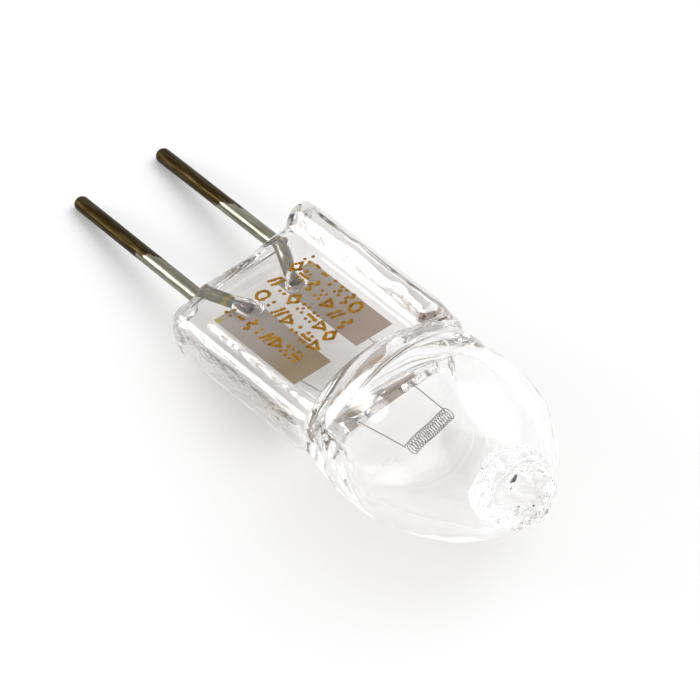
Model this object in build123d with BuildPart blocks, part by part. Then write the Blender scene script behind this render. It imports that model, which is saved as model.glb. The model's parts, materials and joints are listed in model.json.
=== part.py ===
from build123d import *
from math import acos, asin, cos, degrees, radians, sin, sqrt
import os

# A clear quartz halogen capsule with two contact pins, lying on a table.
# Sizes are in millimetres. A station is a distance along the lamp's own axis, from the
# mouth of the glass collars around the pins towards the dome.

# Contact pins: molybdenum wires, bent inwards inside the glass
pin_spacing = 6.35
pin_diameter = 1.0
pin_exposed = 11.8
pin_bend_station = 0.9
pin_bend_radius = 1.6
pin_inner_station = 4.8
pin_inner_spacing = 3.3
weld_flat_depth = 0.05

# Seal foils: thin molybdenum strips that carry the current through the glass
pin_overlap = 1.1
foil_length = 8.0
foil_width = 2.8
foil_thickness = 0.08
foil_spacing = 4.7

# Filament: a coil of tungsten wire and its two straight legs
wire_diameter = 0.12
wire_sides = 4
knuckle_diameter = 0.15
coil_turns = 24
coil_length = 4.15
coil_diameter = 1.12
coil_lead = 0.7
coil_skew_deg = 14.0
leg_overlap = 1.3
left_leg_offset = 3.45
right_leg_offset = 2.0

# The foils and the filament sit a little to the left of the pins' centre line
mount_shift = -0.2

# Press seal: a flat web with a thick rib along each side, the right one standing up and the
# left one down, each level with the web on its other face, and a collar around each pin
seal_width = 12.0
seal_length = 15.0
rib_overrun = 1.0
rib_width = 1.9
rib_thickness = 4.1
left_rib_start = 1.7
right_rib_start = 0.5
rib_end_round = 0.48
rib_corner_share = 0.46
rib_root_share = 0.52
web_start = 1.0
web_thickness = 2.8
collar_diameter = 1.4
collar_length = 2.4
collar_flare_deg = 12.0

# Blown envelope: an ovoid shoulder and a longer ovoid dome, joined at the belly
envelope_diameter = 12.6
shoulder_reach = 4.3
dome_reach = 9.7
wall_thickness = 1.0
neck_width = 11.9
neck_sink = 0.5
cavity_shoulder_reach = 3.9
cavity_mouth_width = 9.2
cavity_mouth_height = 1.4

# Exhaust tip: the melted pip on the dome, and the collapsed bore that runs into it
tip_diameter = 4.1
tip_sink = 1.1
tip_fillet = 0.6
exhaust_bore_diameter = 1.8
exhaust_bore_length = 1.4
exhaust_bore_end_diameter = 0.3

# Clearances of the glass around the metal
capillary_clearance = 0.04
leg_clearance = 0.03

# Shares of the shoulder at which its sections are drawn, the last one on the round belly
neck_shares = (0.06, 0.25, 0.5)
belly_share = 0.82

pin_radius = pin_diameter / 2
tip_radius = tip_diameter / 2
wire_radius = wire_diameter / 2
coil_radius = (coil_diameter - wire_diameter) / 2
belly_radius = envelope_diameter / 2
cavity_radius = belly_radius - wall_thickness
cavity_dome_reach = dome_reach - wall_thickness
belly_station = seal_length + shoulder_reach
cavity_start = belly_station - cavity_shoulder_reach
tip_station = belly_station + dome_reach - tip_sink
coil_station = belly_station + coil_lead
pin_tip_station = pin_radius - pin_exposed
foil_start = pin_inner_station - pin_overlap
leg_weld_station = foil_start + foil_length - leg_overlap
foil_top = weld_flat_depth - pin_radius
leg_height = foil_top + wire_radius
rib_offset = (seal_width - rib_width) / 2
web_width = seal_width - 2 * rib_width
web_round_station = web_start + web_thickness / 2
rib_step = rib_thickness - web_thickness
rib_rise = rib_step / 2
rib_corner = rib_corner_share * rib_step
rib_root_fillet = rib_root_share * rib_step
rib_end = seal_length + rib_overrun
quarter_turn = 90

# The lamp rests on its belly and on the two round pin tips, so the tilt of its axis is
# the slope of the line that touches both. The shoulder's lower edge is an ellipse, so
# the sine of the tilt solves a quadratic.
tripod_length = belly_station - pin_tip_station
square_term = tripod_length**2 + belly_radius**2 - shoulder_reach**2
half_linear_term = tripod_length * pin_radius
constant_term = pin_radius**2 - belly_radius**2
quarter_root = sqrt(half_linear_term**2 - square_term * constant_term)
tilt = asin((quarter_root - half_linear_term) / square_term)

# Lamp frame: x along the axis, y from the left pin to the right pin, z out of the web.
# The row's origin is below the middle of the lamp's length.
pin_end_x = pin_tip_station * cos(tilt) - pin_radius
tip_end_x = tip_station * cos(tilt) + tip_radius
lamp = Plane(
    origin=(-(pin_end_x + tip_end_x) / 2, 0, pin_radius - pin_tip_station * sin(tilt)),
    x_dir=(cos(tilt), 0, sin(tilt)),
    z_dir=(-sin(tilt), 0, cos(tilt)),
)
lamp_axis = Axis(lamp.origin, lamp.x_dir)
lengthwise = Plane(lamp.origin, x_dir=lamp.x_dir, z_dir=-lamp.y_dir)

# Coil frame: z from the left leg to the right leg, x towards the seal
skew = radians(coil_skew_deg)
coil_axis_dir = lamp.y_dir * cos(skew) - lamp.x_dir * sin(skew)
coil_facing_dir = -lamp.x_dir * cos(skew) - lamp.y_dir * sin(skew)
coil_middle = lamp.from_local_coords((coil_station, mount_shift, leg_height))
coil_frame = Plane(
    coil_middle - coil_axis_dir * (coil_length / 2), x_dir=coil_facing_dir, z_dir=coil_axis_dir
)

sides = {"left": -1, "right": 1}
leg_offsets = {-1: -left_leg_offset, 1: right_leg_offset}


def across(station):
    """Plane across the lamp at a station: local x from pin to pin, local y upwards."""
    return Plane(lamp.from_local_coords((station, 0, 0)), x_dir=lamp.y_dir, z_dir=lamp.x_dir)


def square_to(path):
    """Plane square to a path at its start."""
    return Plane(origin=path @ 0, z_dir=path % 0)


def ovoid_height(station, radius, reach):
    """Half height, at a station, of an ovoid shoulder of that radius and reach."""
    return radius * sqrt(1 - ((belly_station - station) / reach) ** 2)


def neck_sections(radius, reach, width):
    """Stations, half widths and half heights of the sections that widen to the belly."""
    sections = []
    widening = ovoid_height(belly_station - reach * (1 - belly_share), radius, reach) - width / 2
    for share in (*neck_shares, belly_share):
        station = belly_station - reach * (1 - share)
        height = ovoid_height(station, radius, reach)
        half_width = width / 2 + widening * share / belly_share
        sections.append((station, half_width, height))
    return sections


def pin_points(side, start, end_clearance=0.0):
    """Corners of one pin's centre line, from a start station to just past its inner end."""
    outer = side * pin_spacing / 2
    inner = side * pin_inner_spacing / 2 + mount_shift
    stretch = 1 + end_clearance / (pin_inner_station - pin_bend_station)
    end_station = pin_bend_station + (pin_inner_station - pin_bend_station) * stretch
    return (start, outer), (pin_bend_station, outer), (end_station, outer + (inner - outer) * stretch)


def leg_weld(side):
    """Point where one leg ends on its foil."""
    return lamp.from_local_coords((leg_weld_station, leg_offsets[side] + mount_shift, leg_height))


def leg_coil_end(side):
    """Point where one leg meets the coil."""
    return coil_middle + coil_axis_dir * (side * coil_length / 2) + coil_facing_dir * coil_radius


os.makedirs("parts", exist_ok=True)

# Outline of each foil, on its upper face
foil_outlines = {}
for side in sides.values():
    with BuildSketch(lamp.offset(foil_top)) as foil_outline:
        with Locations((foil_start, side * foil_spacing / 2 + mount_shift)):
            Rectangle(foil_length, foil_width, align=(Align.MIN, Align.CENTER))
    foil_outlines[side] = foil_outline.sketch

# Contact pins
for name, side in sides.items():
    with BuildPart() as pin:
        with BuildLine(lamp) as pin_path:
            FilletPolyline(*pin_points(side, pin_tip_station), radius=pin_bend_radius)
        with BuildSketch(square_to(pin_path.line)):
            Circle(pin_radius)
        sweep(path=pin_path.line)
        with Locations(pin_path.line @ 0):
            Sphere(pin_radius)
        extrude(foil_outlines[side], amount=-pin_diameter, mode=Mode.SUBTRACT)
    pin.part.label = f"contact_pin_{name}"
    export_step(pin.part, f"parts/contact_pin_{name}.step")

# Seal foils
for name, side in sides.items():
    with BuildPart() as foil:
        extrude(foil_outlines[side], amount=-foil_thickness)
    foil.part.label = f"seal_foil_{name}"
    export_step(foil.part, f"parts/seal_foil_{name}.step")

# Filament, wound in the coil's own frame and then laid in its place
with BuildPart() as filament:
    with BuildLine() as winding:
        Helix(pitch=coil_length / coil_turns, height=coil_length, radius=coil_radius)
    for side in sides.values():
        weld_point = coil_frame.to_local_coords(leg_weld(side))
        coil_point = coil_frame.to_local_coords(leg_coil_end(side))
        with BuildLine() as leg:
            Line(weld_point, coil_point)
        with BuildSketch(square_to(leg.line)):
            Circle(wire_radius)
        sweep(path=leg.line)
        with Locations(leg.line @ 1):
            Sphere(knuckle_diameter / 2)
    with BuildSketch(square_to(winding.line)):
        RegularPolygon(wire_radius, wire_sides)
    sweep(path=winding.line, is_frenet=True)
filament.part = coil_frame.location * filament.part
filament.part.label = "filament"
export_step(filament.part, "parts/filament.step")

# Quartz envelope: seal, blown bulb and exhaust tip are one piece of glass
with BuildPart() as quartz:
    # Side ribs with rounded ends
    for side, rib_start in ((-1, left_rib_start), (1, right_rib_start)):
        with BuildSketch(across(rib_start)):
            with Locations((side * rib_offset, side * rib_rise)):
                RectangleRounded(rib_width, rib_thickness, rib_corner)
        extrude(amount=rib_end - rib_start)
        for station in (rib_start, rib_end):
            rib_end_middle = lamp.from_local_coords((station, side * rib_offset, side * rib_rise))
            fillet(quartz.faces().sort_by_distance(rib_end_middle)[0].edges(), rib_end_round)

    # Web, filleted into the ribs, with a round outer end and a collar at each pin
    with BuildSketch(across(web_round_station)) as press_section:
        Rectangle(2 * rib_offset, web_thickness)
        with Locations((-rib_offset, -rib_rise), (rib_offset, rib_rise)):
            RectangleRounded(rib_width, rib_thickness, rib_corner)
        root_corners = press_section.vertices().sort_by_distance((0, 0))[:2]
        fillet(root_corners, rib_root_fillet)
    extrude(amount=seal_length - web_round_station)
    with BuildSketch(lengthwise):
        with Locations((web_round_station, 0)):
            Circle(web_thickness / 2)
    extrude(amount=web_width / 2, both=True)
    with BuildSketch(across(0)):
        with Locations((-pin_spacing / 2, 0), (pin_spacing / 2, 0)):
            Circle(collar_diameter / 2)
    extrude(amount=collar_length, taper=-collar_flare_deg)

    # Neck: the pressed tube opens out from inside the web to the round belly
    with BuildSketch(across(seal_length - neck_sink)):
        Ellipse(neck_width / 2, (web_thickness - neck_sink) / 2)
    for station, half_width, half_height in neck_sections(belly_radius, shoulder_reach, neck_width):
        with BuildSketch(across(station)):
            Ellipse(half_width, half_height)
    loft()

    # Belly and dome
    joint = belly_station - shoulder_reach * (1 - belly_share)
    joint_angle = degrees(acos((joint - belly_station) / shoulder_reach))
    with BuildSketch(lengthwise):
        with BuildLine():
            Line((joint, 0), (joint, ovoid_height(joint, belly_radius, shoulder_reach)))
            EllipticalCenterArc(
                (belly_station, 0),
                shoulder_reach,
                belly_radius,
                quarter_turn,
                arc_size=joint_angle - quarter_turn,
            )
            EllipticalCenterArc((belly_station, 0), dome_reach, belly_radius, 0, arc_size=quarter_turn)
            Line((belly_station + dome_reach, 0), (joint, 0))
        make_face()
    revolve(axis=lamp_axis)

    # Exhaust tip
    with Locations(lamp.from_local_coords((tip_station, 0, 0))):
        Sphere(tip_radius)
    tip_edge = quartz.edges().filter_by(lambda edge: edge.is_closed).sort_by(lamp_axis)[-1]
    fillet(tip_edge, tip_fillet)

    # Gas space: a flat pressed mouth that widens to the round cavity and its dome
    with BuildSketch(across(cavity_start)):
        Ellipse(cavity_mouth_width / 2, cavity_mouth_height / 2)
    for station, half_width, half_height in neck_sections(
        cavity_radius, cavity_shoulder_reach, cavity_mouth_width
    ):
        with BuildSketch(across(station)):
            Ellipse(half_width, half_height)
    loft(mode=Mode.SUBTRACT)
    cavity_joint = belly_station - cavity_shoulder_reach * (1 - belly_share)
    cavity_angle = degrees(acos((cavity_joint - belly_station) / cavity_shoulder_reach))
    cavity_joint_radius = ovoid_height(cavity_joint, cavity_radius, cavity_shoulder_reach)
    bore_radius = exhaust_bore_diameter / 2
    bore_start = belly_station + cavity_dome_reach * sqrt(1 - (bore_radius / cavity_radius) ** 2)
    bore_end = bore_start + exhaust_bore_length
    with BuildSketch(lengthwise):
        with BuildLine():
            Line((cavity_joint, 0), (cavity_joint, cavity_joint_radius))
            EllipticalCenterArc(
                (belly_station, 0),
                cavity_shoulder_reach,
                cavity_radius,
                quarter_turn,
                arc_size=cavity_angle - quarter_turn,
            )
            EllipticalCenterArc(
                (belly_station, 0), cavity_dome_reach, cavity_radius, 0, arc_size=quarter_turn
            )
            Line((belly_station + cavity_dome_reach, 0), (cavity_joint, 0))
        make_face()
        with BuildLine():
            Polyline(
                (bore_start, 0),
                (bore_start, bore_radius),
                (bore_end, exhaust_bore_end_diameter / 2),
                (bore_end, 0),
                close=True,
            )
        make_face()
    revolve(axis=lamp_axis, mode=Mode.SUBTRACT)

    # Capillaries around the pins, slits for the foils and bores for the legs
    for side in sides.values():
        with BuildLine(lamp) as pin_path:
            FilletPolyline(
                *pin_points(side, -pin_diameter, capillary_clearance), radius=pin_bend_radius
            )
        with BuildSketch(square_to(pin_path.line)):
            Circle(pin_radius + capillary_clearance)
        sweep(path=pin_path.line, mode=Mode.SUBTRACT)
        extrude(foil_outlines[side], amount=-foil_thickness, mode=Mode.SUBTRACT)
        with BuildLine() as leg:
            Line(leg_weld(side), leg_coil_end(side))
        with BuildSketch(square_to(leg.line)):
            Circle(wire_radius + leg_clearance)
        sweep(path=leg.line, mode=Mode.SUBTRACT)
quartz.part.label = "quartz_envelope"
export_step(quartz.part, "parts/quartz_envelope.step")
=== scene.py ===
import json
from math import cos, pi, radians, sin, sqrt

import bpy
from mathutils import Euler, Matrix, Vector, noise

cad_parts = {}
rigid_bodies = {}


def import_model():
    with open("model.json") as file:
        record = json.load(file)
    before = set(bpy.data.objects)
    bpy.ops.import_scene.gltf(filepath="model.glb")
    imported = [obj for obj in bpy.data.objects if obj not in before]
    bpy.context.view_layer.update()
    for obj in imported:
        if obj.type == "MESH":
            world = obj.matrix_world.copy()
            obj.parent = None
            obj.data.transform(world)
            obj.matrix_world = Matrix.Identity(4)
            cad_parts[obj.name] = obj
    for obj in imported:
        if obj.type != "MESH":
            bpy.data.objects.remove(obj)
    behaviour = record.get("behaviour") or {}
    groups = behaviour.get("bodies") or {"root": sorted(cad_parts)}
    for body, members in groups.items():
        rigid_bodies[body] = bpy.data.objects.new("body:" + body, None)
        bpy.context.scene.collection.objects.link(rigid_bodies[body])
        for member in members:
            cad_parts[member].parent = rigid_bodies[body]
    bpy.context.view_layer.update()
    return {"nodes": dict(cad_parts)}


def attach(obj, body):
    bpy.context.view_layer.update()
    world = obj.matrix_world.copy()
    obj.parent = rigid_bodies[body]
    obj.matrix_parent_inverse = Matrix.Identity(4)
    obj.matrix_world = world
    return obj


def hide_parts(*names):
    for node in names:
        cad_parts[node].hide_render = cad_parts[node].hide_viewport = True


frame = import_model()

# A clear quartz halogen capsule on a white table. Each piece is modelled in millimetres in
# the lamp's own frame (x along the lamp from the pins to the dome, y from the left pin to the
# right pin, z out of the flat of the seal) and is then laid down on the table.

MM = 0.001
LAMP_TILT = 0.1887163731
LAMP_ORIGIN = Vector((-8.92764, 0.0, 2.61986))

# Main sizes of the lamp, as in the solids
PIN_SPACING = 6.35
WEB_HALF_HEIGHT = 1.4
BELLY = 19.3
BELLY_RADIUS = 6.3
DOME_REACH = 9.7
WALL = 1.0

# The metal inside the glass lies a little to the left
INSIDE_SHIFT = -0.2


# Small helpers for working by hand

def deselect_all():
    for item in bpy.context.view_layer.objects:
        item.select_set(False)


def take_up(piece):
    """Make one piece the only selected and active object."""
    deselect_all()
    piece.select_set(True)
    bpy.context.view_layer.objects.active = piece


def edit(piece):
    take_up(piece)
    bpy.ops.object.mode_set(mode="EDIT")


def edit_all(piece):
    """Open a piece for editing with all of it selected."""
    edit(piece)
    bpy.ops.mesh.select_all(action="SELECT")


def done():
    bpy.ops.object.mode_set(mode="OBJECT")


def pick(piece, test):
    """Select, in edit mode, the vertices whose place passes the test."""
    bpy.ops.mesh.select_mode(type="VERT")
    bpy.ops.mesh.select_all(action="DESELECT")
    done()
    for vertex in piece.data.vertices:
        vertex.select = test(vertex.co)
    bpy.ops.object.mode_set(mode="EDIT")


def apply_modifier(piece, kind, **settings):
    take_up(piece)
    bpy.ops.object.modifier_add(type=kind)
    modifier = piece.modifiers[-1]
    for key, value in settings.items():
        setattr(modifier, key, value)
    bpy.ops.object.modifier_apply(modifier=modifier.name)


def freeze(piece):
    """Apply a piece's place, turn and size to its mesh."""
    take_up(piece)
    bpy.ops.object.transform_apply(location=True, rotation=True, scale=True)


def join(piece, others):
    """Join other pieces to one, which keeps its name."""
    take_up(piece)
    for other in others:
        other.select_set(True)
    bpy.ops.object.join()


def lay_down(piece):
    """Turn a piece from the lamp's own frame in millimetres to its place on the table."""
    piece.scale = (MM, MM, MM)
    piece.rotation_euler = Euler((0.0, -LAMP_TILT, 0.0))
    piece.location = LAMP_ORIGIN * MM
    freeze(piece)


def smooth(piece):
    take_up(piece)
    bpy.ops.object.shade_smooth()


def ease(value, low, high):
    """Smooth step from 0 at low to 1 at high, which may also lie below low."""
    share = min(1.0, max(0.0, (value - low) / (high - low)))
    return share * share * (3 - 2 * share)


# Sections of the glass. A ring has the same number of points at every station, counted from
# the middle of the upper side to the right, so that rings can be bridged one to one.

QUARTER = 11

# Right half of the pressed section, from the middle of the upper flat, over the raised rib and
# down its side, to the middle of the lower flat. The left half is the same, turned upside down,
# with a wider rounding on its edge.
RAISED_RIB = [
    (0.0, 1.4), (1.5, 1.4), (2.5, 1.4), (3.15, 1.41), (3.6, 1.52), (4.0, 1.88),
    (4.42, 2.38), (4.8, 2.66), (5.35, 2.66), (5.8, 2.28), (6.02, 1.45), (6.06, 0.0),
]
SMALL_EDGE = [(6.06, -0.8), (6.0, -1.18), (5.84, -1.36), (5.5, -1.4), (4.7, -1.4)]
WIDE_EDGE = [(5.98, -0.66), (5.8, -1.0), (5.48, -1.27), (5.15, -1.4), (4.6, -1.4)]
LOWER_FLAT = [(4.0, -1.4), (3.3, -1.4), (2.5, -1.4), (1.7, -1.4), (0.85, -1.4)]
PRESS_RING = RAISED_RIB + SMALL_EDGE + LOWER_FLAT
PRESS_RING += [(-y, -z) for y, z in RAISED_RIB + WIDE_EDGE + LOWER_FLAT]

# The same section with its ribs cut down to the web
FLAT_RING = [(y, max(-WEB_HALF_HEIGHT, min(WEB_HALF_HEIGHT, z))) for y, z in PRESS_RING]

# How the bulb was blown askew: the stations over which this comes and goes, the direction
# across the bulb in which it is leaner, where that side starts, and by how much the bulb is
# leaner there and fuller at its lower left
LEAN_COMES = (15.0, 16.0)
LEAN_GOES = (25.0, 18.5)
LEAN_TOWARDS = (0.875, 0.485)
LEAN_START = 0.485
LEANER = 0.11
FULLER = 0.06


def four_quarters(quarter):
    """Mirror the points of a quarter section to the whole ring."""
    ring = list(quarter[:-1])
    ring += [(y, -z) for y, z in reversed(quarter[1:])]
    ring += [(-y, -z) for y, z in quarter[:-1]]
    ring += [(-y, z) for y, z in reversed(quarter[1:])]
    return ring


def oval_quarter(half_width, half_height, power=2.0):
    points = []
    for step in range(QUARTER + 1):
        angle = pi / 2 * (1 - step / QUARTER)
        y = half_width * abs(cos(angle)) ** (2 / power)
        z = half_height * abs(sin(angle)) ** (2 / power)
        points.append((y, z))
    return points


def round_ring(radius):
    return four_quarters(oval_quarter(radius, radius))


def oval_ring(half_width, top, bottom, power):
    """Ring whose upper and lower halves have their own heights."""
    ring = four_quarters(oval_quarter(half_width, 1.0, power))
    return [(y, z * (top if z > 0 else bottom)) for y, z in ring]


def lean(station, ring):
    """Set a ring of the bulb askew: leaner at the upper right, fuller at the lower left."""
    share = ease(station, *LEAN_COMES) * ease(station, *LEAN_GOES)
    leaned = []
    for y, z in ring:
        reach = sqrt(y * y + z * z)
        facing = (LEAN_TOWARDS[0] * y + LEAN_TOWARDS[1] * z) / reach
        lean_side = max(0.0, facing - LEAN_START) / (1 - LEAN_START)
        full_side = 2 * max(0.0, -y) * max(0.0, -z) / reach ** 2
        factor = 1 + share * (FULLER * full_side - LEANER * lean_side)
        leaned.append((y * factor, z * factor))
    return leaned


def blend_rings(first, second, share):
    return [
        (a[0] + (b[0] - a[0]) * share, a[1] + (b[1] - a[1]) * share)
        for a, b in zip(first, second)
    ]


def ring_start(name, station, section):
    """Begin a tube of glass with one ring of points at a station."""
    bpy.ops.mesh.primitive_circle_add(vertices=len(section), radius=1.0, fill_type="NOTHING")
    piece = bpy.context.object
    piece.name = name
    for vertex, (y, z) in zip(piece.data.vertices, section):
        vertex.co = (station, y, z)
    edit_all(piece)
    return piece


def extrude_ring(piece, places):
    """Extrude the open ring and set the points of the new one on their places."""
    bpy.ops.mesh.extrude_edges_move()
    done()
    fresh = [vertex for vertex in piece.data.vertices if vertex.select]
    for vertex, place in zip(fresh, places):
        vertex.co = place
    bpy.ops.object.mode_set(mode="EDIT")


def ring_on(piece, station, section):
    """Extrude the open ring to a section further along."""
    extrude_ring(piece, [(station, y, z) for y, z in section])


def close_ring(span=QUARTER):
    """Fill the open ring with a grid of quads."""
    bpy.ops.mesh.fill_grid(span=span)


# Quartz glass

SEAL_START = 3.2

# Share by which the ribs have come down where they meet the neck
RIB_SLOPE = 0.6

# Where the ribs start across the seal, and how their outer ends lie to the end of the web
RIB_START = 3.9
LEFT_RIB_SETBACK = 0.55
RIGHT_RIB_LEAD = 0.65

# Rounding of the seal's outer corners: its depth, where it starts across the seal and its reach
CORNER_DEPTH = 1.1
CORNER_START = 3.6
CORNER_REACH = 2.4

# Flat end of the gas space at the seal: its station, half width, half height and squareness
GAS_END = 15.22
GAS_END_WIDTH = 4.2
GAS_END_HEIGHT = 0.3
GAS_END_POWER = 4.0

# Share of a section's reach from which a point counts as on its edge
EDGE_SHARE = 0.95


def dome_radius(station, wall=0.0):
    """Radius of the dome at a station, on its outer side or a wall further in."""
    share = (station - BELLY) / (DOME_REACH - wall)
    return (BELLY_RADIUS - wall) * sqrt(1 - share ** 2)


def end_station(station, y):
    """Station of the seal's outer end at one place across it."""
    if y < -RIB_START:
        return station + LEFT_RIB_SETBACK
    if y > RIB_START:
        return station - RIGHT_RIB_LEAD
    return station


def ring_end(piece, steps):
    """Extrude the outer end of the seal in steps that shrink towards its middle height."""
    for station, share in steps:
        inset = (1 - share) * CORNER_DEPTH
        places = []
        for y, z in PRESS_RING:
            side = max(0.0, abs(y) - inset * max(0.0, (abs(y) - CORNER_START) / CORNER_REACH))
            places.append((end_station(station, y), side if y >= 0 else -side, z * share))
        extrude_ring(piece, places)


def build_glass_skin():
    glass = ring_start("quartz_glass", SEAL_START, PRESS_RING)
    for station in (4.4, 5.6, 6.8, 8.0, 9.2, 10.4, 11.6, 12.8, 13.5, 13.8):
        ring_on(glass, station, PRESS_RING)
    # The ribs slope down just before the neck, but not quite to the web
    low_ring = blend_rings(PRESS_RING, FLAT_RING, RIB_SLOPE)
    for station, share in ((14.1, 0.08), (14.4, 0.3), (14.7, 0.5)):
        ring_on(glass, station, blend_rings(PRESS_RING, FLAT_RING, share))
    for station in (14.9, 15.2):
        ring_on(glass, station, low_ring)
    # Neck: the glass rises steeply from the web to a corner, then rounds off into the bulb
    for station, share, width, top, bottom, power in (
        (15.35, 0.05, 6.02, 3.4, 3.4, 2.8), (15.55, 0.3, 6.02, 4.07, 4.07, 2.7),
        (15.71, 0.65, 6.03, 4.17, 4.17, 2.6), (15.85, 0.93, 6.04, 4.3, 4.3, 2.6),
        (16.1, 1.0, 6.05, 4.55, 4.5, 2.5), (16.55, 1.0, 6.08, 4.85, 4.9, 2.4),
        (17.3, 1.0, 6.15, 5.33, 5.6, 2.3), (18.2, 1.0, 6.22, 5.9, 6.1, 2.15),
        (19.3, 1.0, 6.29, 6.28, 6.3, 2.03),
    ):
        full_ring = lean(station, oval_ring(width, top, bottom, power))
        ring_on(glass, station, blend_rings(low_ring, full_ring, share))
    for station in (20.6, 22.0, 23.4, 24.7, 25.8, 26.7, 27.4, 27.9):
        ring_on(glass, station, lean(station, round_ring(dome_radius(station))))
    # Exhaust tip: a shallow groove, then the melted pip
    for station, radius in (
        (28.1, 2.42), (28.28, 2.2), (28.55, 2.13), (28.95, 2.02),
        (29.35, 1.72), (29.66, 1.28), (29.82, 0.75),
    ):
        ring_on(glass, station, round_ring(radius))
    close_ring()
    # Outer end of the seal: each rib and the web end at their own station
    pick(glass, lambda co: co.x < SEAL_START + 0.1)
    ring_end(glass, ((2.3, 1.0), (1.75, 0.98), (1.42, 0.88), (1.26, 0.68), (1.2, 0.42)))
    close_ring()
    done()
    return glass


def on_gas_end_edge(place):
    across = abs(place.y / GAS_END_WIDTH) ** GAS_END_POWER
    upwards = abs(place.z / GAS_END_HEIGHT) ** GAS_END_POWER
    return across + upwards > EDGE_SHARE


def build_gas_space():
    flat_end = four_quarters(oval_quarter(GAS_END_WIDTH, GAS_END_HEIGHT, GAS_END_POWER))
    gas = ring_start("gas_space", GAS_END, flat_end)
    close_ring()
    pick(gas, on_gas_end_edge)
    for station, width, top, bottom, power in (
        (15.3, 4.4, 0.45, 0.45, 3.2), (15.5, 4.55, 1.0, 1.0, 3.0), (16.0, 4.7, 1.8, 1.9, 2.8),
        (16.5, 4.8, 2.49, 2.75, 2.7), (17.0, 4.88, 3.09, 3.5, 2.6), (17.5, 4.96, 3.62, 4.15, 2.5),
        (18.0, 5.04, 4.1, 4.6, 2.35), (18.4, 5.1, 4.45, 4.9, 2.25), (18.8, 5.16, 4.72, 5.1, 2.15),
        (19.3, 5.22, 4.92, 5.22, 2.1), (19.9, 5.26, 5.1, 5.27, 2.05),
    ):
        ring_on(gas, station, lean(station, oval_ring(width, top, bottom, power)))
    for station in (20.8, 22.0, 23.4, 24.7, 25.7, 26.4):
        ring_on(gas, station, lean(station, round_ring(dome_radius(station, WALL))))
    # Inner side of the melted tip, which stands into the gas space
    for station, radius in (
        (26.7, 2.6), (26.84, 2.34), (26.78, 2.14), (26.5, 1.98),
        (26.15, 1.74), (25.85, 1.36), (25.66, 0.92), (25.58, 0.45),
    ):
        ring_on(gas, station, round_ring(radius))
    close_ring()
    done()
    return gas


# Bend of the pins inside the glass: where it starts, its run and half the gap of the inner ends
BEND_START = 0.9
BEND_RUN = 3.9
INNER_HALF_GAP = 1.65


def pin_line(side, station):
    """Place across the lamp of one pin's centre line at a station inside the glass."""
    outer = side * PIN_SPACING / 2
    inner = side * INNER_HALF_GAP + INSIDE_SHIFT
    share = min(1.0, max(0.0, (station - BEND_START) / BEND_RUN))
    return outer + (inner - outer) * share


# Open pocket beside each pin's inner end: station, radius, height share and shift to the right
POCKETS = {
    -1: (
        (2.3, 0.12, 1.0, 0.3), (2.5, 0.3, 1.0, 0.28), (2.9, 0.4, 1.0, 0.24), (3.4, 0.46, 1.0, 0.16),
        (3.9, 0.66, 0.95, 0.06), (4.4, 0.8, 0.9, 0.0), (4.9, 0.82, 0.88, 0.0), (5.2, 0.7, 0.85, 0.0),
        (5.45, 0.5, 0.8, 0.0), (5.6, 0.25, 0.75, 0.0),
    ),
    1: (
        (1.5, 0.15, 1.0, 0.36), (1.7, 0.36, 1.0, 0.34), (2.2, 0.46, 1.0, 0.32), (3.0, 0.46, 1.0, 0.3),
        (3.6, 0.5, 1.0, 0.2), (4.1, 0.7, 0.95, 0.08), (4.6, 0.82, 0.9, 0.0), (5.1, 0.8, 0.85, 0.0),
        (5.45, 0.6, 0.8, 0.0), (5.6, 0.3, 0.75, 0.0),
    ),
}
POCKET_POINTS = 16


def build_pocket(side):
    """The pocket that stayed open where the glass didn't wet the pin."""
    turns = [2 * pi * k / POCKET_POINTS for k in range(POCKET_POINTS)]
    pocket = None
    for station, radius, flat, shift in POCKETS[side]:
        middle = pin_line(side, station) + shift
        section = [(middle + radius * sin(turn), radius * flat * cos(turn)) for turn in turns]
        if pocket is None:
            pocket = ring_start("pocket", station, section)
            close_ring(POCKET_POINTS // 4)
            edge = (EDGE_SHARE * radius) ** 2
            pick(pocket, lambda co: (co.y - middle) ** 2 + co.z ** 2 > edge)
        else:
            ring_on(pocket, station, section)
    close_ring(POCKET_POINTS // 4)
    done()
    return pocket


def finish_shell(piece, inside):
    edit_all(piece)
    bpy.ops.mesh.normals_make_consistent(inside=inside)
    done()
    apply_modifier(piece, "SUBSURF", levels=2, render_levels=2)
    smooth(piece)


def work_unevenly(piece, amount, fineness, weight):
    """Push the skin in and out a little, as hot glass that was pressed and drawn."""
    normals = [vertex.normal.copy() for vertex in piece.data.vertices]
    for vertex, normal in zip(piece.data.vertices, normals):
        place = vertex.co
        share = weight(place)
        if share > 0.0:
            spot = Vector((place.x * fineness[0], place.y * fineness[1], place.z * fineness[2]))
            vertex.co = place + normal * (amount * share * noise.noise(spot))


# Places that are uneven: the sides of the ribs, mostly the left one, and both sides of the tip
RIGHT_RIB_SHARE = 0.45


def rib_share(place):
    side = 1.0 if place.y < 0 else RIGHT_RIB_SHARE
    return side * ease(abs(place.y), 5.75, 6.0) * ease(place.x, 16.2, 14.8)


def tip_share(place):
    return ease(place.x, 28.1, 28.8)


def inner_tip_share(place):
    return ease(place.x, 25.2, 25.6) * ease(sqrt(place.y ** 2 + place.z ** 2), 2.3, 1.9)


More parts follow.
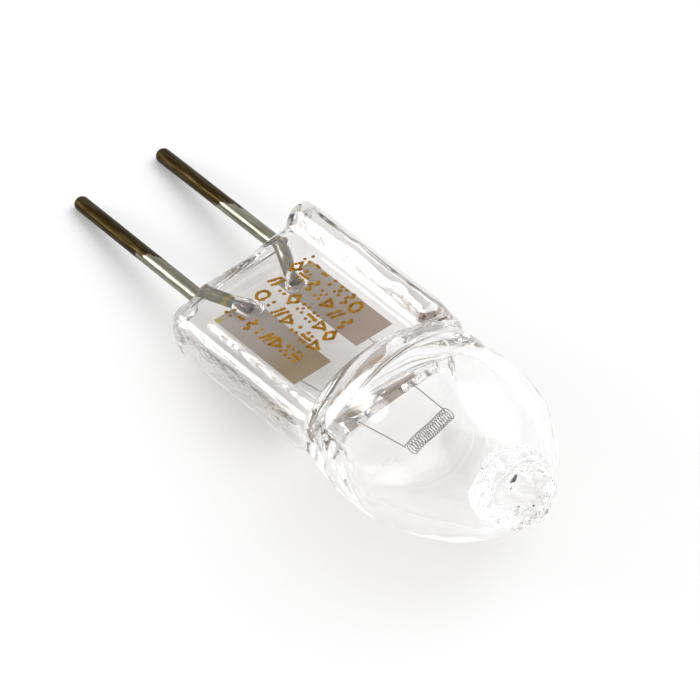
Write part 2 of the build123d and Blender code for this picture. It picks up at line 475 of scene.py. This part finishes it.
glass = build_glass_skin()
gas_space = build_gas_space()
hollows = [gas_space, build_pocket(-1), build_pocket(1)]
finish_shell(glass, inside=False)
for hollow in hollows:
    finish_shell(hollow, inside=True)
work_unevenly(glass, 0.09, (0.55, 1.1, 1.1), rib_share)
work_unevenly(glass, 0.04, (1.3, 2.2, 2.2), rib_share)
work_unevenly(glass, 0.36, (1.0, 1.0, 1.0), tip_share)
work_unevenly(glass, 0.1, (2.4, 2.4, 2.4), tip_share)
work_unevenly(gas_space, 0.45, (1.1, 1.1, 1.1), inner_tip_share)
join(glass, hollows)
lay_down(glass)
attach(glass, "root")
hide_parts("quartz_envelope")


# Filament: a wire wound about its own axis, then set across the bulb with its two legs

COIL_TURNS = 19
STEPS_PER_TURN = 20
COIL_LENGTH = 3.75
COIL_RADIUS = 0.41
WIRE_RADIUS = 0.03
KNUCKLE_RADIUS = 0.045
COIL_SKEW = radians(14)
COIL_MIDDLE = Vector((20.0, INSIDE_SHIFT, -0.39))
COIL_AXIS = Vector((-sin(COIL_SKEW), cos(COIL_SKEW), 0.0))
COIL_FACING = Vector((-cos(COIL_SKEW), -sin(COIL_SKEW), 0.0))

# Weld of each leg at the underside of its foil
WELD_STATION = 10.4
WELD_SIDE = {-1: -3.45, 1: 2.0}
WELD_HEIGHT = -0.57


def coil_end(side):
    """Place where the wire leaves the coil for its leg."""
    return COIL_MIDDLE + COIL_AXIS * side * COIL_LENGTH / 2 + COIL_FACING * COIL_RADIUS


def build_winding():
    bpy.ops.mesh.primitive_circle_add(vertices=8, radius=WIRE_RADIUS, rotation=(pi / 2, 0.0, 0.0))
    wire = bpy.context.object
    wire.name = "tungsten_coil"
    freeze(wire)
    edit_all(wire)
    bpy.ops.transform.translate(value=(COIL_RADIUS, 0.0, 0.0))
    done()
    apply_modifier(
        wire,
        "SCREW",
        angle=2 * pi * COIL_TURNS,
        screw_offset=COIL_LENGTH,
        steps=COIL_TURNS * STEPS_PER_TURN,
        render_steps=COIL_TURNS * STEPS_PER_TURN,
        axis="Z",
    )
    # Turns that were stretched or pushed together a little, as in a coil that has been lit
    for vertex in wire.data.vertices:
        share = vertex.co.z / COIL_LENGTH
        vertex.co.z += 0.05 * sin(2 * pi * share) - 0.03 * sin(5 * pi * share)
        vertex.co.x += 0.05 * sin(pi * share) + 0.02 * sin(7 * share)
        vertex.co.y += 0.025 * sin(3 * pi * share)
    sideways = COIL_AXIS.cross(COIL_FACING)
    turned = Matrix((COIL_FACING, sideways, COIL_AXIS)).transposed().to_4x4()
    wire.matrix_world = Matrix.Translation(COIL_MIDDLE - COIL_AXIS * COIL_LENGTH / 2) @ turned
    freeze(wire)
    return wire


def build_leg(side):
    weld = Vector((WELD_STATION, WELD_SIDE[side] + INSIDE_SHIFT, WELD_HEIGHT))
    end = coil_end(side)
    run = end - weld
    bpy.ops.mesh.primitive_cylinder_add(
        vertices=10,
        radius=WIRE_RADIUS,
        depth=run.length,
        location=(weld + end) / 2,
        rotation=run.to_track_quat("Z", "Y").to_euler(),
    )
    leg = bpy.context.object
    edit_all(leg)
    bpy.ops.mesh.bevel(offset=0.02, segments=2, affect="EDGES")
    done()
    freeze(leg)
    return leg


def build_knuckle(side):
    """Soft turn of the wire from the leg into the coil."""
    end = coil_end(side)
    bpy.ops.mesh.primitive_ico_sphere_add(subdivisions=2, radius=KNUCKLE_RADIUS, location=end)
    knuckle = bpy.context.object
    edit_all(knuckle)
    bpy.ops.transform.resize(value=(1.25, 1.0, 0.95), center_override=end)
    done()
    freeze(knuckle)
    return knuckle


coil = build_winding()
join(coil, [build_leg(-1), build_leg(1), build_knuckle(-1), build_knuckle(1)])
smooth(coil)
lay_down(coil)
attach(coil, "root")
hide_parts("filament")


# Stamp: plain marks of fired ink on the flat of the seal, each made of round dots

DOT_RADIUS = 0.15
DOT_THICKNESS = 0.02
DOT_GAP = 0.17
DOT_WANDER = 0.06
DOT_SIZE = 0.85
DOT_SIZE_SPREAD = 0.3
INK_LIFT = WEB_HALF_HEIGHT + 0.012


def dots_along(*corners):
    """Dots at an even gap along a line through the corners."""
    dots = []
    for (u0, v0), (u1, v1) in zip(corners, corners[1:]):
        count = max(1, round(sqrt((u1 - u0) ** 2 + (v1 - v0) ** 2) / DOT_GAP))
        dots += [(u0 + (u1 - u0) * k / count, v0 + (v1 - v0) * k / count) for k in range(count)]
    return dots + [corners[-1]]


MARKS = {
    "ring": [(0.34 * cos(2 * pi * k / 14), 0.44 * sin(2 * pi * k / 14)) for k in range(14)],
    "wave": [(0.17 * sin(3 * pi * k / 7), 0.92 * (k / 7 - 0.5)) for k in range(8)],
    "twin": dots_along((-0.3, -0.36), (-0.06, 0.36)) + dots_along((0.06, -0.36), (0.3, 0.36)),
    "dash": dots_along((-0.16, 0.0), (0.16, 0.0)),
    "pair": [(0.0, -0.22), (0.0, 0.22)],
    "trio": [(-0.2, -0.25), (0.0, 0.25), (0.2, -0.25)],
    "five": [(-0.22, -0.3), (0.22, -0.3), (0.0, 0.0), (-0.22, 0.3), (0.22, 0.3)],
    "lozenge": dots_along((0.34, 0.0), (0.0, 0.46), (-0.34, 0.0), (0.0, -0.46), (0.34, 0.0)),
    "wedge": dots_along((-0.3, -0.36), (0.34, 0.0), (-0.3, 0.36), (-0.3, -0.36)),
    "ladder": (
        dots_along((-0.34, 0.0), (0.34, 0.0))
        + [(-0.2, 0.34), (0.2, 0.34), (-0.2, -0.34), (0.2, -0.34)]
    ),
}

# Start and end of each row on the flat, and its marks
STAMP_ROWS = (
    (4.45, 3.0, 9.9, 2.25, ("trio", "dash", "dash", "pair", "five", "wave", "ring")),
    (4.4, 1.95, 10.6, 0.9, ("lozenge", "ladder", "wave", "five", "wedge", "twin", "wave")),
    (4.6, 0.3, 10.8, -0.4, ("twin", "trio", "lozenge", "five", "ladder", "wedge", "lozenge")),
    (5.0, -1.1, 10.9, -1.6, ("ring", "pair", "twin", "wedge", "trio", "ladder", "wedge")),
    (4.85, -3.3, 10.8, -2.95, ("trio", "dash", "wave", "pair", "twin", "wedge", "five", "ladder")),
)


def build_dot():
    bpy.ops.mesh.primitive_cylinder_add(vertices=8, radius=DOT_RADIUS, depth=DOT_THICKNESS)
    dot = bpy.context.object
    dot.name = "ink_dot"
    edit(dot)
    pick(dot, lambda co: co.z > 0)
    bpy.ops.transform.resize(value=(0.9, 0.9, 1.0), center_override=(0.0, 0.0, 0.0))
    done()
    return dot


def wander(spot):
    """Small shift of a dot off its line, the same in every run."""
    along = noise.noise(spot * 3.0 + Vector((11.3, 0.0, 0.0)))
    across = noise.noise(spot * 3.0 + Vector((0.0, 17.7, 0.0)))
    return Vector((along, across, 0.0)) * DOT_WANDER


def build_stamp():
    model = build_dot()
    dots = []
    for start_x, start_y, end_x, end_y, names in STAMP_ROWS:
        for place, name in enumerate(names):
            share = place / (len(names) - 1)
            middle_x = start_x + (end_x - start_x) * share
            middle_y = start_y + (end_y - start_y) * share
            middle = Vector((middle_x, middle_y, INK_LIFT))
            for u, v in MARKS[name]:
                spot = middle + Vector((u, v, 0.0))
                take_up(model)
                bpy.ops.object.duplicate()
                dot = bpy.context.object
                dot.location = spot + wander(spot)
                size = DOT_SIZE + DOT_SIZE_SPREAD * noise.noise(spot * 5.0)
                dot.scale = (size, size, 1.0)
                dots.append(dot)
    take_up(model)
    bpy.ops.object.delete()
    stamp = dots[0]
    join(stamp, dots[1:])
    stamp.name = "ink_stamp"
    freeze(stamp)
    return stamp


stamp = build_stamp()
smooth(stamp)
lay_down(stamp)
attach(stamp, "root")


# Nodes that the materials share

WHITE = (1.0, 1.0, 1.0, 1.0)


def new_material(name):
    material = bpy.data.materials.new(name)
    material.use_nodes = True
    nodes = material.node_tree.nodes
    nodes.clear()
    output = nodes.new("ShaderNodeOutputMaterial")
    return material, nodes, material.node_tree.links, output


def lamp_coordinates(nodes, links):
    """Object coordinates turned into the lamp's own frame, in millimetres."""
    place = nodes.new("ShaderNodeTexCoord")
    shift = nodes.new("ShaderNodeMapping")
    shift.inputs["Location"].default_value = -LAMP_ORIGIN * MM
    turn = nodes.new("ShaderNodeMapping")
    turn.inputs["Rotation"].default_value = (0.0, LAMP_TILT, 0.0)
    grow = nodes.new("ShaderNodeVectorMath")
    grow.operation = "SCALE"
    grow.inputs["Scale"].default_value = 1 / MM
    links.new(place.outputs["Object"], shift.inputs["Vector"])
    links.new(shift.outputs["Vector"], turn.inputs["Vector"])
    links.new(turn.outputs["Vector"], grow.inputs[0])
    return grow.outputs["Vector"]


def split_axes(nodes, links, vector):
    node = nodes.new("ShaderNodeSeparateXYZ")
    links.new(vector, node.inputs["Vector"])
    return node.outputs


def stretched_noise(nodes, links, vector, stretch, scale, detail=4.0):
    squeeze = nodes.new("ShaderNodeVectorMath")
    squeeze.operation = "MULTIPLY"
    squeeze.inputs[1].default_value = stretch
    texture = nodes.new("ShaderNodeTexNoise")
    texture.inputs["Scale"].default_value = scale
    texture.inputs["Detail"].default_value = detail
    links.new(vector, squeeze.inputs[0])
    links.new(squeeze.outputs["Vector"], texture.inputs["Vector"])
    return texture.outputs["Fac"]


def arithmetic(nodes, links, operation, *values):
    """Math node whose inputs are numbers or the outputs of other nodes."""
    node = nodes.new("ShaderNodeMath")
    node.operation = operation
    for socket, value in zip(node.inputs, values):
        if isinstance(value, (int, float)):
            socket.default_value = value
        else:
            links.new(value, socket)
    return node.outputs["Value"]


def map_range(nodes, links, value, low, high, interpolation="LINEAR"):
    """Share of the way from low to high, held between 0 and 1."""
    node = nodes.new("ShaderNodeMapRange")
    node.interpolation_type = interpolation
    node.inputs["From Min"].default_value = low
    node.inputs["From Max"].default_value = high
    links.new(value, node.inputs["Value"])
    return node.outputs["Result"]


def ramp(nodes, links, value, stops):
    node = nodes.new("ShaderNodeValToRGB")
    elements = node.color_ramp.elements
    elements[0].position, elements[0].color = stops[0][0], (*stops[0][1], 1.0)
    elements[1].position, elements[1].color = stops[-1][0], (*stops[-1][1], 1.0)
    for position, colour in stops[1:-1]:
        element = elements.new(position)
        element.color = (*colour, 1.0)
    links.new(value, node.inputs["Fac"])
    return node.outputs["Color"]


def mix_colour(nodes, links, share, first, second):
    """Mix of two colours, each given as a tuple or as the output of another node."""
    node = nodes.new("ShaderNodeMix")
    node.data_type = "RGBA"
    links.new(share, node.inputs[0])
    for socket, value in ((node.inputs[6], first), (node.inputs[7], second)):
        if isinstance(value, tuple):
            socket.default_value = (*value, 1.0)
        else:
            links.new(value, socket)
    return node.outputs[2]


def mix_shaders(nodes, links, share, first, second):
    node = nodes.new("ShaderNodeMixShader")
    links.new(share, node.inputs["Fac"])
    links.new(first, node.inputs[1])
    links.new(second, node.inputs[2])
    return node.outputs["Shader"]


def bump_from(nodes, links, height, strength, distance):
    node = nodes.new("ShaderNodeBump")
    node.inputs["Strength"].default_value = strength
    node.inputs["Distance"].default_value = distance
    links.new(height, node.inputs["Height"])
    return node.outputs["Normal"]


def seen_rays(nodes, links):
    """1 for rays by which a surface is seen, straight, mirrored or through glass, else 0."""
    path = nodes.new("ShaderNodeLightPath").outputs
    seen = arithmetic(nodes, links, "MAXIMUM", path["Is Camera Ray"], path["Is Glossy Ray"])
    return arithmetic(nodes, links, "MAXIMUM", seen, path["Is Transmission Ray"])


# Materials

def quartz_material():
    """Clear glass, greyed over the seal as painted shade, speckled on the left rib's side, with soft
    shadows that pass through it.
    """
    material, nodes, links, output = new_material("clear_quartz")
    shader = nodes.new("ShaderNodeBsdfPrincipled")
    lamp = lamp_coordinates(nodes, links)
    axes = split_axes(nodes, links, lamp)
    sealed = map_range(nodes, links, axes["X"], 15.4, 13.6)
    # The seal's glass is greyed here: painted shade that stands in for the floor's shadow seen
    # through it
    painted_shade_grey = mix_colour(nodes, links, sealed, (1.0, 1.0, 1.0), (0.86, 0.84, 0.83))
    links.new(painted_shade_grey, shader.inputs["Base Color"])
    shader.inputs["Roughness"].default_value = 0.0
    shader.inputs["IOR"].default_value = 1.46
    shader.inputs["Transmission Weight"].default_value = 1.0
    rib_side = map_range(nodes, links, axes["Y"], -5.75, -5.95)
    speckle = stretched_noise(nodes, links, lamp, (0.7, 1.0, 1.2), 1.5)
    rough = arithmetic(nodes, links, "MULTIPLY", rib_side, sealed)
    height = arithmetic(nodes, links, "MULTIPLY", rough, speckle)
    links.new(bump_from(nodes, links, height, 1.0, 0.00016), shader.inputs["Normal"])
    # Shade that the glass casts, darker where light crosses it at a slant
    clear = nodes.new("ShaderNodeBsdfTransparent")
    slant = nodes.new("ShaderNodeLayerWeight")
    slant.inputs["Blend"].default_value = 0.5
    seal_shade = ramp(
        nodes, links, slant.outputs["Facing"],
        ((0.0, (0.955, 0.95, 0.94)), (0.5, (0.92, 0.91, 0.895)), (1.0, (0.68, 0.67, 0.65))),
    )
    bulb_shade = ramp(
        nodes, links, slant.outputs["Facing"],
        ((0.0, (0.957, 0.952, 0.945)), (0.5, (0.91, 0.904, 0.894)), (1.0, (0.67, 0.662, 0.65))),
    )
    links.new(mix_colour(nodes, links, sealed, bulb_shade, seal_shade), clear.inputs["Color"])
    path = nodes.new("ShaderNodeLightPath").outputs
    straight = arithmetic(nodes, links, "MAXIMUM", path["Is Shadow Ray"], path["Is Diffuse Ray"])
    mixed = mix_shaders(nodes, links, straight, shader.outputs["BSDF"], clear.outputs["BSDF"])
    links.new(mixed, output.inputs["Surface"])
    return material


# Edge of the oxide on a pin: its slant across the pin, its place on each pin, its raggedness,
# the middle of its range and half the width over which it fades
OXIDE_SLANT = -2.6
OXIDE_PLACE = {-1: 3.45, 1: 3.9}
OXIDE_RAGGED = 2.4
OXIDE_MIDDLE = 1.2
OXIDE_FADE = 0.18

# Roughness of a pin under its oxide film and where it is bare
OXIDE_ROUGHNESS = 0.42
BARE_ROUGHNESS = 0.27


def temper_colours(nodes, links, lamp, station, colour):
    """Film colours that the heat of the weld left on a pin's inner end."""
    swirl = stretched_noise(nodes, links, lamp, (1.0, 1.4, 1.4), 1.3, 1.0)
    along = arithmetic(nodes, links, "MULTIPLY_ADD", swirl, 1.2, station)
    film = ramp(
        nodes, links, map_range(nodes, links, along, 3.2, 4.7),
        (
            (0.0, (0.12, 0.13, 0.08)), (0.25, (0.13, 0.17, 0.11)), (0.45, (0.4, 0.3, 0.08)),
            (0.6, (0.24, 0.15, 0.08)), (0.75, (0.13, 0.18, 0.14)), (1.0, (0.2, 0.15, 0.15)),
        ),
    )
    reach = map_range(nodes, links, station, 2.6, 2.9)
    return mix_colour(nodes, links, reach, colour, film)


def pin_material(side):
    """Molybdenum wire: dark brown oxide on the outer end, bare grey metal near the glass."""
    name = "left_pin_metal" if side < 0 else "right_pin_metal"
    material, nodes, links, output = new_material(name)
    shader = nodes.new("ShaderNodeBsdfPrincipled")
    lamp = lamp_coordinates(nodes, links)
    axes = split_axes(nodes, links, lamp)
    across = arithmetic(nodes, links, "ADD", axes["Y"], -side * PIN_SPACING / 2)
    ragged = stretched_noise(nodes, links, lamp, (0.6, 2.2, 2.2), 1.6)
    edge = arithmetic(nodes, links, "MULTIPLY_ADD", across, OXIDE_SLANT, OXIDE_PLACE[side])
    reach = arithmetic(nodes, links, "ADD", axes["X"], edge)
    wander = arithmetic(nodes, links, "MULTIPLY", ragged, OXIDE_RAGGED)
    reach = arithmetic(nodes, links, "ADD", reach, wander)
    boundary = arithmetic(nodes, links, "SUBTRACT", reach, OXIDE_MIDDLE)
    bared = map_range(nodes, links, boundary, -OXIDE_FADE, OXIDE_FADE, "SMOOTHSTEP")
    streaks = stretched_noise(nodes, links, lamp, (0.25, 3.0, 3.0), 2.2)
    oxide = ramp(
        nodes, links, streaks,
        ((0.3, (0.014, 0.008, 0.001)), (0.52, (0.029, 0.018, 0.003)), (0.68, (0.07, 0.05, 0.02))),
    )
    bare = ramp(
        nodes, links, streaks,
        ((0.3, (0.13, 0.12, 0.088)), (0.5, (0.21, 0.2, 0.155)), (0.7, (0.31, 0.3, 0.24))),
    )
    dull = ramp(
        nodes, links, streaks,
        ((0.3, (0.13, 0.115, 0.085)), (0.5, (0.22, 0.2, 0.16)), (0.7, (0.32, 0.3, 0.25))),
    )
    colour = mix_colour(nodes, links, bared, oxide, bare)
    inner = map_range(nodes, links, axes["X"], 0.2, 1.2)
    colour = mix_colour(nodes, links, inner, colour, dull)
    if side < 0:
        colour = temper_colours(nodes, links, lamp, axes["X"], colour)
    links.new(colour, shader.inputs["Base Color"])
    shader.inputs["Metallic"].default_value = 1.0
    polish = BARE_ROUGHNESS - OXIDE_ROUGHNESS
    gloss = arithmetic(nodes, links, "MULTIPLY_ADD", bared, polish, OXIDE_ROUGHNESS)
    links.new(gloss, shader.inputs["Roughness"])
    grain = stretched_noise(nodes, links, lamp, (0.5, 6.0, 6.0), 3.0)
    links.new(bump_from(nodes, links, grain, 0.25, 0.00002), shader.inputs["Normal"])
    links.new(shader.outputs["BSDF"], output.inputs["Surface"])
    return material


# Stations of the foils' ends, the colour of each at the bulb, and the place of the straw tint
FOIL_START = 3.7
FOIL_END = 11.7
FOIL_BULB_END = {-1: (0.29, 0.215, 0.115), 1: (0.36, 0.28, 0.23)}
STRAW_STATION = 3.9
STRAW_SIDE = 3.6
STRAW_HEIGHT = -0.45


def foil_material(side):
    """Etched molybdenum strip: satin grey, browner towards the bulb, straw tint at one corner."""
    material, nodes, links, output = new_material("left_foil" if side < 0 else "right_foil")
    shader = nodes.new("ShaderNodeBsdfPrincipled")
    lamp = lamp_coordinates(nodes, links)
    axes = split_axes(nodes, links, lamp)
    cloud = stretched_noise(nodes, links, lamp, (0.35, 1.0, 1.0), 0.9)
    along = map_range(nodes, links, axes["X"], FOIL_START, FOIL_END)
    shade = arithmetic(nodes, links, "MULTIPLY_ADD", cloud, 0.35, along)
    grey = ramp(
        nodes, links, shade,
        ((0.1, (0.4, 0.37, 0.345)), (0.7, (0.34, 0.295, 0.255)), (1.0, FOIL_BULB_END[side])),
    )
    corner = Vector((STRAW_STATION, side * STRAW_SIDE + INSIDE_SHIFT, STRAW_HEIGHT))
    gap = nodes.new("ShaderNodeVectorMath")
    gap.operation = "DISTANCE"
    gap.inputs[1].default_value = corner
    links.new(lamp, gap.inputs[0])
    straw = map_range(nodes, links, gap.outputs["Value"], 0.5, 0.1, "SMOOTHSTEP")
    colour = mix_colour(nodes, links, straw, grey, (0.4, 0.33, 0.09))
    links.new(colour, shader.inputs["Base Color"])
    shader.inputs["Metallic"].default_value = 0.2
    shader.inputs["Roughness"].default_value = 0.6
    shader.inputs["Specular IOR Level"].default_value = 0.25
    ripple = stretched_noise(nodes, links, lamp, (0.3, 2.0, 2.0), 1.4)
    links.new(bump_from(nodes, links, ripple, 0.3, 0.00005), shader.inputs["Normal"])
    links.new(shader.outputs["BSDF"], output.inputs["Surface"])
    return material


def tungsten_material():
    material, nodes, links, output = new_material("tungsten_wire")
    shader = nodes.new("ShaderNodeBsdfPrincipled")
    lamp = lamp_coordinates(nodes, links)
    fine = stretched_noise(nodes, links, lamp, (1.0, 1.0, 1.0), 6.0)
    colour = ramp(
        nodes, links, fine,
        ((0.3, (0.16, 0.14, 0.12)), (0.5, (0.3, 0.27, 0.24)), (0.7, (0.45, 0.42, 0.38))),
    )
    links.new(colour, shader.inputs["Base Color"])
    shader.inputs["Metallic"].default_value = 0.9
    shader.inputs["Roughness"].default_value = 0.4
    links.new(bump_from(nodes, links, fine, 0.2, 0.00001), shader.inputs["Normal"])
    links.new(shader.outputs["BSDF"], output.inputs["Surface"])
    return material


def ink_material():
    material, nodes, links, output = new_material("fired_ink")
    shader = nodes.new("ShaderNodeBsdfPrincipled")
    lamp = lamp_coordinates(nodes, links)
    patchy = stretched_noise(nodes, links, lamp, (1.0, 1.0, 1.0), 2.5)
    colour = ramp(
        nodes, links, patchy,
        ((0.3, (0.19, 0.08, 0.0)), (0.5, (0.31, 0.14, 0.0)), (0.72, (0.4, 0.19, 0.001))),
    )
    links.new(colour, shader.inputs["Base Color"])
    shader.inputs["Roughness"].default_value = 0.6
    shader.inputs["Specular IOR Level"].default_value = 0.15
    links.new(bump_from(nodes, links, patchy, 0.3, 0.00001), shader.inputs["Normal"])
    links.new(shader.outputs["BSDF"], output.inputs["Surface"])
    return material


def dress(piece, material):
    piece.data.materials.clear()
    piece.data.materials.append(material)


dress(glass, quartz_material())
dress(coil, tungsten_material())
dress(stamp, ink_material())
for side, word in ((-1, "left"), (1, "right")):
    dress(frame["nodes"][f"contact_pin_{word}"], pin_material(side))
    dress(frame["nodes"][f"seal_foil_{word}"], foil_material(side))


# Table, lights and camera

TABLE_SIZE = 4.0

# Share of its own white that the table shows where it is seen, and the strength of the white
# surroundings as they are seen and as they light the scene
TABLE_GLOW = 0.2
SEEN_STRENGTH = 1.0
LIGHT_STRENGTH = 0.45

CARD_SIZE = 0.8
CARD_PLACE = Vector((0.42, -0.32, 0.66))


def table_material():
    material, nodes, links, output = new_material("white_table")
    diffuse = nodes.new("ShaderNodeBsdfDiffuse")
    diffuse.inputs["Color"].default_value = (0.9, 0.9, 0.9, 1.0)
    glow = nodes.new("ShaderNodeEmission")
    glow.inputs["Color"].default_value = WHITE
    glow.inputs["Strength"].default_value = 1.0
    share = arithmetic(nodes, links, "MULTIPLY", seen_rays(nodes, links), TABLE_GLOW)
    mixed = mix_shaders(nodes, links, share, diffuse.outputs["BSDF"], glow.outputs["Emission"])
    links.new(mixed, output.inputs["Surface"])
    return material


deselect_all()
bpy.ops.mesh.primitive_plane_add(size=TABLE_SIZE, location=(0.0, 0.0, 0.0))
table = bpy.context.object
table.name = "table"
table.data.materials.append(table_material())


def white_background(nodes, strength):
    node = nodes.new("ShaderNodeBackground")
    node.inputs["Color"].default_value = WHITE
    node.inputs["Strength"].default_value = strength
    return node.outputs["Background"]


def studio_world():
    """White all round, which lights the scene less than it shows."""
    world = bpy.data.worlds.new("studio")
    bpy.context.scene.world = world
    world.use_nodes = True
    nodes = world.node_tree.nodes
    links = world.node_tree.links
    nodes.clear()
    output = nodes.new("ShaderNodeOutputWorld")
    soft = white_background(nodes, LIGHT_STRENGTH)
    white = white_background(nodes, SEEN_STRENGTH)
    mixed = mix_shaders(nodes, links, seen_rays(nodes, links), soft, white)
    links.new(mixed, output.inputs["Surface"])


studio_world()


def soft_lamp(name, place, size, power, spread):
    """A soft box of a width and a height that faces the lamp from its place."""
    light = bpy.data.lights.new(name, "AREA")
    light.shape = "RECTANGLE"
    light.size, light.size_y = size
    light.energy = power
    light.spread = radians(spread)
    holder = bpy.data.objects.new(name, light)
    bpy.context.scene.collection.objects.link(holder)
    holder.location = place
    holder.rotation_euler = (-Vector(place)).to_track_quat("-Z", "Y").to_euler()
    return holder


soft_lamp("window_light", (0.1, 0.45, 0.58), size=(1.0, 0.9), power=1.6, spread=64.0)
soft_lamp("left_light", (-0.57, -0.504, 0.247), size=(0.36, 0.36), power=0.16, spread=28.0)
ceiling = soft_lamp("ceiling_light", (0.0, 0.12, 0.75), size=(0.4, 0.4), power=0.85, spread=180.0)
# The ceiling only deepens the shadows under the lamp, so the glass doesn't mirror it
ceiling.visible_glossy = False
ceiling.visible_transmission = False


def dark_card():
    """The dim room behind the camera, as the glass sees it."""
    bpy.ops.mesh.primitive_plane_add(size=CARD_SIZE, location=CARD_PLACE)
    card = bpy.context.object
    card.name = "dark_card"
    card.rotation_euler = CARD_PLACE.to_track_quat("Z", "Y").to_euler()
    material, nodes, links, output = new_material("dim_room")
    diffuse = nodes.new("ShaderNodeBsdfDiffuse")
    diffuse.inputs["Color"].default_value = (0.05, 0.05, 0.075, 1.0)
    links.new(diffuse.outputs["BSDF"], output.inputs["Surface"])
    card.data.materials.append(material)
    card.visible_shadow = False
    card.visible_diffuse = False


dark_card()

# Camera as fitted to the photo
view = bpy.data.cameras.new("photo_view")
view.lens = 282.084
view.sensor_width = 36.0
view.clip_start = 0.01
view.clip_end = 10.0
camera = bpy.data.objects.new("photo_view", view)
bpy.context.scene.collection.objects.link(camera)
camera.location = (0.165067, -0.126178, 0.25995)
camera.rotation_euler = Euler((radians(38.9526), radians(0.3437), radians(51.6962)))
bpy.context.scene.camera = camera
bpy.context.scene.view_settings.view_transform = "Standard"

# Light that runs along inside the glass needs many turns before it comes out
bpy.context.scene.cycles.max_bounces = 48
bpy.context.scene.cycles.glossy_bounces = 40
bpy.context.scene.cycles.transmission_bounces = 40
